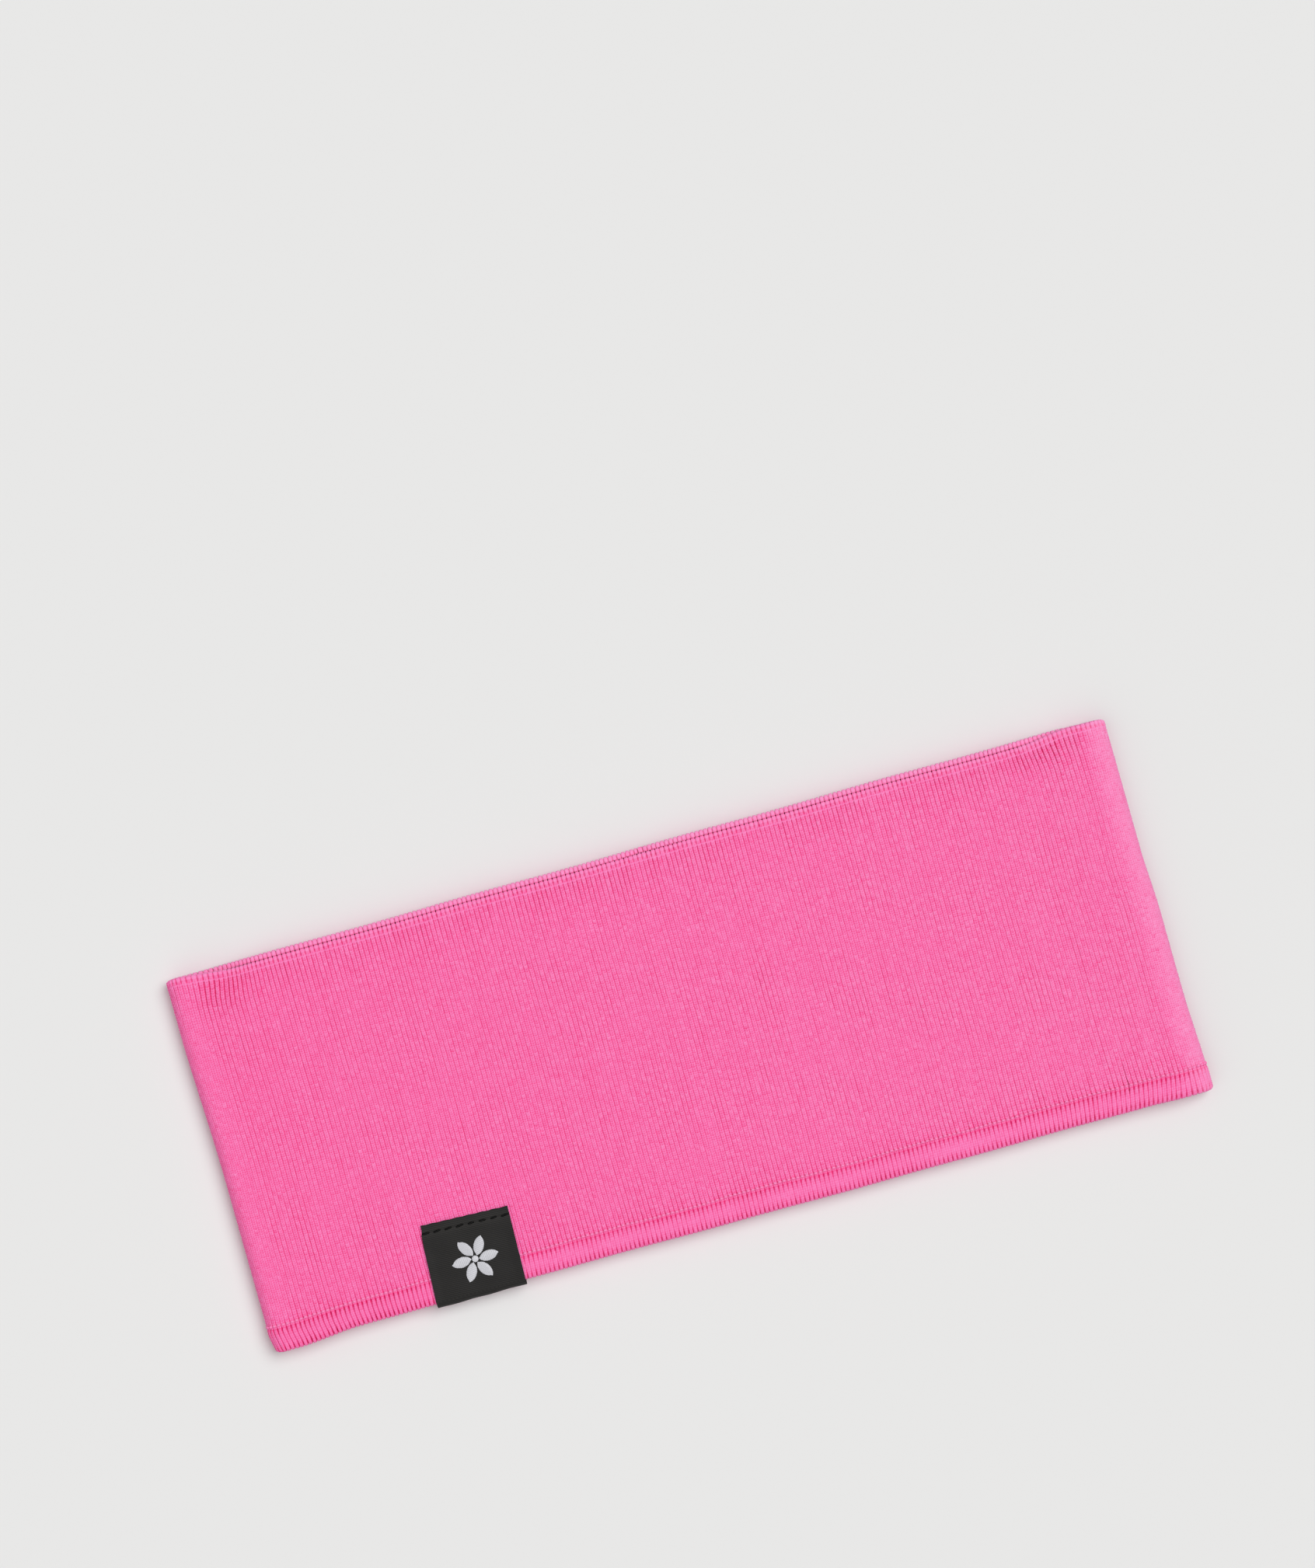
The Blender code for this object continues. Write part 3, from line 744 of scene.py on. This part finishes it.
def linking_yarn(name, panel, start, end, wales, seed):
    """Linking loops on the face, and the two chains that hold the turned edges inside."""
    rng = np.random.default_rng(seed)
    per_wale = 12
    along = np.linspace(start, end, wales * per_wale + 1)[1:-1]
    turns = (along - start) / (end - start) * wales
    uneven = np.repeat(rng.normal(0, 1, wales + 1), per_wale)[: len(along)]
    lift = np.clip(1 + 0.22 * uneven, 0.5, 1.5)
    wave = -np.cos(TAU * turns)
    line = link_line(along)
    loop = 0.19 * MM * lift * (wave - 0.25 * np.cos(2 * TAU * turns))
    y = warp_y(panel, along, line + loop + 0.16 * MM)
    path = place(panel, along + sideways(along, line), y, 0.27 * MM - 0.13 * MM * wave,
                 swell(panel, along, y))
    radius = 0.27 * MM * (1 + 0.20 * wave + 0.08 * np.sin(TAU * turns * 3))
    # painted shade: each loop is coloured deeper where it dips into the cloth
    bodies = [(tube(path, radius, sides=8, squash=0.85), (0.5 - 0.5 * wave)[:, None] ** 1.5)]
    along, turns = along[::2], turns[::2]
    for at in (HEM + HEM_LEG + 0.15 * MM, TOP[panel] - TOP_LEG - 0.15 * MM):
        y = warp_y(panel, along, at + 0.42 * MM * np.sin(TAU * turns * 0.5))
        path = place(panel, along, y, PANEL + 0.06 * MM, swell(panel, along, y, PANEL))
        bodies.append((tube(path, 0.17 * MM), 0.2))
    return mesh_object(name, bodies, THREAD)


# ----------------------------------------------------- the lengths of the band
def follow(piece, body, next_body=None, hinge_x=0.0):
    """The piece rides one body; given a second body, it is left unparented with its transform
    baked in. hinge_x is not used.
    """
    if next_body is None:
        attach(piece, body)
    else:
        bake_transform(piece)


def span(label, panel, start, end, wales, first_wale, bodies, stands, has_thread=True,
         tuck=(True, True), hook=False):
    """One length of knit, lining and linking yarn, standing for the CAD pieces `stands`."""
    knit = knit_cloth("outer_knit_cloth_" + label, panel, start, end, wales, first_wale,
                      tuck, hook)
    lining = lining_cloth("lining_cloth_" + label, panel, start, end, wales, 500 + first_wale)
    yarn = linking_yarn("linking_yarn_" + label, panel, start, end, wales, 900 + first_wale)
    for piece, node, slot in ((knit, "outer_knit_", "pink_knit"),
                              (lining, "lining_", "pink_lining"),
                              (yarn, "linking_thread_", "pink_thread")):
        follow(piece, *bodies)
        if stands and (has_thread or piece is not yarn):
            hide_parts(*[node + stand for stand in stands])


STEP = 20.0 * MM                               # half a length
FOLD_WALES, WALES, SEAM_WALES = 19, 35, 18     # per fold half, length, half at the seam
SEAM_EXTRA = 2 * SEAM_WALES - WALES            # wales the back has more than the front

for panel in ("front", "back"):
    for n in range(1, 6):
        if panel == "back" and n == 3:
            continue
        x = (-120 + 40 * n) * MM
        extra = SEAM_EXTRA if panel == "back" and n > 3 else 0
        span("%s_%d_%d" % (panel, n, n + 1), panel, x - STEP, x + STEP, WALES,
             FOLD_WALES + WALES * (n - 1) + extra,
             ("%s_%d" % (panel, n), "%s_%d" % (panel, n + 1), x),
             ["%s_%d" % (panel, i) for i in ((5, 6) if n == 5 else (n,))])

# the two halves at the centre back, joined by the seam
seam_wale = FOLD_WALES + 2 * WALES
span("back_seam_left", "back", -STEP, 0.0, SEAM_WALES, seam_wale, ("back_3",), ["back_3"],
     tuck=(True, False), hook=True)
span("back_seam_right", "back", 0.0, STEP, SEAM_WALES, seam_wale + SEAM_WALES, ("back_4",), [],
     tuck=(False, True))

# the side folds: each half turns with its own panel
for side, sign, end_body in (("left", -1, 1), ("right", 1, 6)):
    for panel in ("front", "back"):
        start, end = sorted((sign * 100 * MM, sign * FOLD_TIP))
        extra = SEAM_EXTRA if panel == "back" else 0
        span("%s_fold_%s" % (side, panel), panel, start, end, FOLD_WALES,
             0 if sign < 0 else FOLD_WALES + WALES * 5 + extra,
             ("%s_%d" % (panel, end_body),),
             ["%s_fold" % side] if panel == "back" else [], has_thread=False)


# --------------------------------------------------- overlocked centre-back seam
def overlock():
    """A looping thread between two chains, on the back panel's inner face."""
    low, high = HEM + 2 * MM, TOP["back"] - 2 * MM
    loops = int((high - low) / (1.45 * MM))
    turns = np.linspace(0, loops, loops * 12 + 1)
    y = low + (high - low) * turns / loops
    top_z = PANEL + 0.36 * MM
    wander = 0.06 * MM * np.sin(turns * 0.9)
    over = stack_xyz(-1.5 * MM + 0.95 * MM * np.sin(TAU * turns) + wander,
                     y + 0.30 * MM * np.cos(TAU * turns),
                     top_z + 0.10 * MM * np.cos(TAU * turns))
    bodies = [(tube(over, 0.17 * MM), 0.1 + 0.2 * (np.cos(TAU * turns * 2) > 0)[:, None])]
    for x, phase in ((-0.62 * MM, 0.0), (-2.35 * MM, 1.6)):
        chain = stack_xyz(x + 0.16 * MM * np.sin(TAU * turns + phase) + wander, y,
                          top_z - 0.04 * MM + 0.10 * MM * np.cos(TAU * turns * 2 + phase))
        bodies.append((tube(chain, 0.15 * MM), 0.15))
    return mesh_object("centre_back_overlock_seam", bodies, THREAD)


seam = overlock()
follow(seam, "back_3")
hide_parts("back_seam_thread")


# ------------------------------------------------------------- the woven label
LABEL_X = -66.2 * MM                           # middle of the label
LABEL_WIDTH = 22.2 * MM
LABEL_TOP = -27.7 * MM                         # upper edge of the outer leaf
LABEL_END = -47.95 * MM                        # where it turns under, below the hem
LABEL_BACK = -33.0 * MM                        # upper edge of the leaf inside
LABEL_LEAN = math.tan(math.radians(2.8))
LABEL_TILT = math.tan(math.radians(-2.7))
LABEL_THICK = 0.26 * MM
LABEL_GAP = 0.16 * MM                          # face of the cloth to middle of the tape
LABEL_BEND = 1.36 * MM                         # how far the turn reaches in y
TURN_Y = LABEL_END + LABEL_BEND
INNER_LEAF_Z = PANEL + 0.26 * MM
TWILL_TURN = math.radians(-30)
TWILL_PITCH = 0.50 * MM
STITCH_DOWN = 2.05 * MM                        # stitch row below the upper edge
SATIN_PITCH = 0.30 * MM


def label_spot(across, y):
    """Where a point of the label lies: across it (-1 to 1), y down the leaf."""
    rise = (y - LABEL_END) / (LABEL_TOP - LABEL_END)
    off = across * LABEL_WIDTH / 2
    lean = LABEL_LEAN * (y - LABEL_END) * (1.15 - 0.55 * (across + 1) / 2)
    return LABEL_X - 0.35 * MM + off * 1.022 + lean, y + LABEL_TILT * off * rise


def face_height(x, y):
    """Height of the front panel's face under the label."""
    return FACE + swell("front", x, y)


def label_wave(x, y):
    return 0.05 * MM * ripple(x, 9.0, 0.8) + 0.035 * MM * ripple(y + x * 0.4, 6.3)


def turned_band(down):
    """1 on the band above the stitch row, 0 below it."""
    return 1 - smooth(STITCH_DOWN - 0.15 * MM, STITCH_DOWN + 0.25 * MM, down)


def twill(across_ribs):
    return 0.5 + 0.5 * np.cos(TAU * across_ribs / TWILL_PITCH)


def label_side(across, step, lift):
    """One face of the folded tape; lift is its distance from the middle."""
    sin, cos = math.sin(TWILL_TURN), math.cos(TWILL_TURN)
    edge = np.abs(across)

    # outer leaf, from its upper edge down to the turn
    leaf_y = np.arange(LABEL_TOP, TURN_Y, -step)[None]
    x, y = label_spot(across, leaf_y)
    down = LABEL_TOP - leaf_y
    band = turned_band(down)
    crease = bell(down, STITCH_DOWN, 0.30 * MM)
    wave = label_wave(x, y)
    curl = 0.16 * MM * smooth(0.80, 1.0, edge) * ramp(3, 9, down)
    puff = (0.16 * MM * band
            * np.sqrt(np.clip(1 - ((down - 1.0 * MM) / (1.15 * MM)) ** 2, 0, 1)))
    z = face_height(x, y) + LABEL_GAP + wave + curl + puff - 0.09 * MM * crease
    ragged = np.sin(TAU * leaf_y / (0.9 * MM) + 3 * np.sin(leaf_y / (2.3 * MM)))
    x = (x + 0.36 * MM * band * smooth(-0.80, -1.0, across)
         + 0.035 * MM * ragged * (edge > 0.985) * np.sign(across))
    y = y + 0.05 * MM * ripple(x, 3.1) * ramp(1.0, 0.0, down)
    along_ribs = x * cos + y * sin
    ribs = twill(-x * sin + y * cos + 0.5 * np.sin(TAU * along_ribs / (0.9 * MM))
                 * TWILL_PITCH / TAU)
    weft = 0.5 + 0.5 * np.cos(TAU * leaf_y / (0.26 * MM))
    if lift > 0:
        z = z + 0.05 * MM * ribs * (1 - 0.6 * crease) + 0.012 * MM * weft
    leaf = stack_xyz(x, y, z + lift)
    # painted shade between the twill ribs and weft rows, and a painted highlight in a band round
    # the stitch row
    leaf_hollow = ((1 - ribs) * 0.8 - 0.35 * bell(down, STITCH_DOWN, 1.0 * MM)
                   + 0.2 * (1 - weft))

    # the turn round the hem
    turn_x, turn_y = label_spot(across, TURN_Y)
    z_top = face_height(turn_x, turn_y) + LABEL_GAP + wave[:, -1:] + curl[:, -1:]
    radius = (z_top - INNER_LEAF_Z) / 2
    angle = np.linspace(0, math.pi, 34)[None, 1:]
    reach = (LABEL_BEND + lift) * np.sin(angle) * (1 + 0.04 * np.sin(TAU * across * 1.3))
    turn = stack_xyz(turn_x, turn_y - reach,
                     (z_top + INNER_LEAF_Z) / 2 + (radius + lift) * np.cos(angle))
    # painted shade between the twill ribs round the turn
    turn_hollow = (1 - twill(-turn_x * sin - angle * LABEL_BEND * cos)) * 0.8

    # the leaf inside the band, just above the back panel
    y = np.arange(TURN_Y, LABEL_BACK, (0.3) * MM)[None, 1:]
    x = LABEL_X - 0.25 * MM + across * LABEL_WIDTH / 2 - LABEL_LEAN * 0.2 * (y - TURN_Y)
    inside = stack_xyz(x, y, INNER_LEAF_Z - lift + 0.02 * MM * np.sin(y / MM))
    hollows = [leaf_hollow, turn_hollow, np.full(inside.shape[:2], 0.5)]
    return np.concatenate([leaf, turn, inside], 1), np.concatenate(hollows, 1)


def woven_label():
    step = 0.125 * MM
    across = np.linspace(-1, 1, int(LABEL_WIDTH / step) + 1)[:, None]
    outer, outer_hollow = label_side(across, step, LABEL_THICK / 2)
    inner, inner_hollow = label_side(across, step, -LABEL_THICK / 2)
    body = (np.concatenate([outer, inner[:, ::-1]], 1),
            np.concatenate([outer_hollow, inner_hollow[:, ::-1]], 1))
    return mesh_object("woven_black_label", [body], TWILL, sharp_ends=True)


def label_height(x, y):
    """Height of the outer leaf's upper surface."""
    return (face_height(x, y) + LABEL_GAP + label_wave(x, y) + LABEL_THICK / 2
            + 0.02 * MM * turned_band(LABEL_TOP - y))


def label_stitches():
    """A row of stitches, each of two strands twisted together."""
    rng = np.random.default_rng(9)
    bodies = []
    count = 8
    for i in range(count):
        half = 0.92 * MM * rng.uniform(0.85, 1.1)
        slant = rng.uniform(-0.05, 0.16) - 0.045
        run = np.linspace(-1, 1, 15)
        middle_x, middle_y = label_spot(-0.90 + 1.80 * i / (count - 1), LABEL_TOP - STITCH_DOWN)
        x = middle_x + run * half
        y = middle_y + run * half * slant + 0.04 * MM * np.sin(3 * run)
        bow = 0.20 * MM * np.sqrt(np.clip(1 - (run / 1.02) ** 2, 0, 1)) - 0.10 * MM
        z = label_height(x, y) - 0.02 * MM + bow
        radius = 0.20 * MM * np.sqrt(np.clip(1.06 - run ** 4, 0.05, 1))
        for twist in (0.0, math.pi):
            turn = TAU * run * 1.3 + twist
            path = stack_xyz(x, y + 0.075 * MM * np.cos(turn), z + 0.06 * MM * np.sin(turn))
            bodies.append((tube(path, radius, sides=8), 0.1))
    return mesh_object("label_stitch_row", bodies, BLACK)


def petal(centre_x, centre_y, angle, rng):
    """One satin-stitched petal pointing away from the centre."""
    long_steps, wide_steps = ((150, 20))
    run = np.linspace(0, 1, long_steps)
    across = np.linspace(-1, 1, wide_steps)[None]
    out = (1.05 + 4.75 * run) * MM
    width = (0.30 + 1.02 * np.sin(math.pi * np.clip(run * 0.93 + 0.04, 0, 1)) ** 0.8) * MM
    strand = 0.5 + 0.5 * np.cos(TAU * out / SATIN_PITCH)
    ragged = 0.035 * MM * rng.normal(0, 1, long_steps)
    ends = np.sqrt(np.clip(1.02 - np.abs(2 * run - 1) ** 6, 0.04, 1))
    half = ((width + ragged) * (1 + 0.03 * strand) * ends)[:, None]
    forward = out[:, None] + 0.176 * MM * across
    aside = half * across
    thread = 0.5 + 0.5 * np.cos(TAU * forward / SATIN_PITCH - 0.5 * across)
    dome = np.sqrt(np.clip(1 - across ** 2, 0, 1))
    x = centre_x + forward * math.cos(angle) - aside * math.sin(angle)
    y = centre_y + forward * math.sin(angle) + aside * math.cos(angle)
    base = label_height(x, y) - 0.02 * MM
    crown = 0.30 * MM * np.sqrt(np.clip(half / (1.3 * MM), 0.2, 1))
    top = stack_xyz(x, y, base + dome * (crown + 0.055 * MM * thread))
    low = stack_xyz(x, y, base - 0.05 * MM)[:, ::-1]
    # painted shade between the satin strands
    return np.concatenate([top, low], 1), np.concatenate([1 - thread, 0.5 + 0 * x], 1)


def rosette():
    """Six satin-stitched petals round a small knot."""
    centre_x, centre_y = LABEL_X + 0.5 * MM, -38.6 * MM
    rng = np.random.default_rng(4)
    bodies = [petal(centre_x, centre_y, TAU * i / 6, rng) for i in range(6)]
    around = np.linspace(0, TAU, 25)[:-1]
    slope = math.pi / 2 * np.linspace(0.12, 1, 8)
    rings = []
    for radius, lift in zip(0.85 * MM * np.sin(slope), 0.42 * MM * np.cos(slope)):
        x, y = centre_x + radius * np.cos(around), centre_y + radius * np.sin(around)
        base = label_height(x, y)
        swirl = 0.03 * MM * np.cos(6 * around + radius / MM * 5)
        rings.append(stack_xyz(x, y, base - 0.03 * MM + lift + swirl))
    rings.append(stack_xyz(x, y, base - 0.09 * MM))      # sinks the rim into the label
    bodies.append((np.array(rings), 0.25 + 0.25 * np.cos(6 * around)))
    return mesh_object("embroidered_rosette", bodies, SILVER)


for piece, node, slot in ((woven_label(), "woven_label", "black_label"),
                          (label_stitches(), "label_stitching", "black_thread"),
                          (rosette(), "label_emblem", "silver_thread")):
    follow(piece, "front_1", "front_2", -80 * MM)
    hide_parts(node)


# ---------------------------------------------------------- stage, light, camera
def add_floor():
    half = 6.0
    mesh = bpy.data.meshes.new("floor")
    mesh.from_pydata([(-half, -half, 0), (half, -half, 0), (half, half, 0), (-half, half, 0)],
                     [], [(0, 1, 2, 3)])
    floor = bpy.data.objects.new("floor", mesh)
    floor.location.z = -0.00005                # just clear of the cloth
    bpy.context.scene.collection.objects.link(floor)
    mat, nodes, shader = new_material("pale_floor")
    nodes.wire(shader, {"Base Color": (0.815, 0.815, 0.812, 1), "Roughness": 0.9,
                        "Specular IOR Level": 0.0})
    mesh.materials.append(mat)


def add_world():
    """Light from overhead with a low fill from the left; the camera sees plain grey."""
    world = bpy.data.worlds.new("studio")
    bpy.context.scene.world = world
    world.use_nodes = True
    tree = world.node_tree
    nodes = Nodes(tree)
    where = nodes.make("ShaderNodeTexCoord").outputs["Generated"]
    height = nodes.make("ShaderNodeSeparateXYZ", {0: where}).outputs["Z"]
    overhead = nodes.math("POWER", nodes.math("MAXIMUM", height, 0.0), 2.0)
    level = nodes.plus(nodes.times(overhead, 0.43), 0.14)
    toward_fill = nodes.make("ShaderNodeVectorMath", {0: where, 1: (-0.85, -0.43, 0.30)},
                             operation="DOT_PRODUCT").outputs["Value"]
    fill = nodes.math("POWER", nodes.math("MAXIMUM", toward_fill, 0.0), 2.0)
    level = nodes.plus(level, nodes.times(fill, 0.72))
    light = tree.nodes["Background"]
    nodes.wire(light, {"Strength": 1.0,
                       "Color": nodes.mix(level, (0.0, 0.0, 0.0), (1.0, 1.0, 1.0))})
    seen = nodes.make("ShaderNodeBackground", {"Color": (0.80, 0.80, 0.80, 1), "Strength": 1.0})
    camera_ray = nodes.make("ShaderNodeLightPath").outputs["Is Camera Ray"]
    mixer = nodes.make("ShaderNodeMixShader",
                       {0: camera_ray, 1: light.outputs[0], 2: seen.outputs[0]})
    nodes.wire(tree.nodes["World Output"], {"Surface": mixer.outputs[0]})


def add_sun():
    lamp = bpy.data.lights.new("window", "SUN")
    lamp.energy = 1.80
    lamp.angle = math.radians(42)
    lamp.color = (1.0, 0.995, 0.985)
    sun = bpy.data.objects.new("window", lamp)
    toward = np.array([0.50, 0.24, 0.87])
    toward /= np.linalg.norm(toward)
    sun.rotation_mode = "QUATERNION"
    sun.rotation_quaternion = Vector(toward).to_track_quat("Z", "Y")
    sun.location = Vector(toward) * 2
    bpy.context.scene.collection.objects.link(sun)


def add_camera():
    """Looks straight down, turned so that the band slants across the view."""
    turn = math.radians(15.75)
    view_width = 385.438 * MM                  # seen just below the front panel's face
    centre_x, centre_y = 9.08 * MM, 61.55 * MM
    data = bpy.data.cameras.new("camera")
    data.lens = 100
    data.sensor_width = 36
    data.clip_start, data.clip_end = 0.01, 20
    camera = bpy.data.objects.new("camera", data)
    distance = view_width * data.lens / data.sensor_width
    camera.matrix_world = Matrix((
        (math.cos(turn), math.sin(turn), 0, centre_x),
        (-math.sin(turn), math.cos(turn), 0, centre_y),
        (0, 0, 1, distance + FACE - 0.5 * MM),
        (0, 0, 0, 1)))
    bpy.context.scene.collection.objects.link(camera)
    bpy.context.scene.camera = camera


add_floor()
add_world()
add_sun()
add_camera()
scene = bpy.context.scene
scene.view_settings.view_transform = "Standard"
scene.view_settings.look = "None"
scene.cycles.denoising_prefilter = "NONE"
scene.cycles.filter_width = 1.3
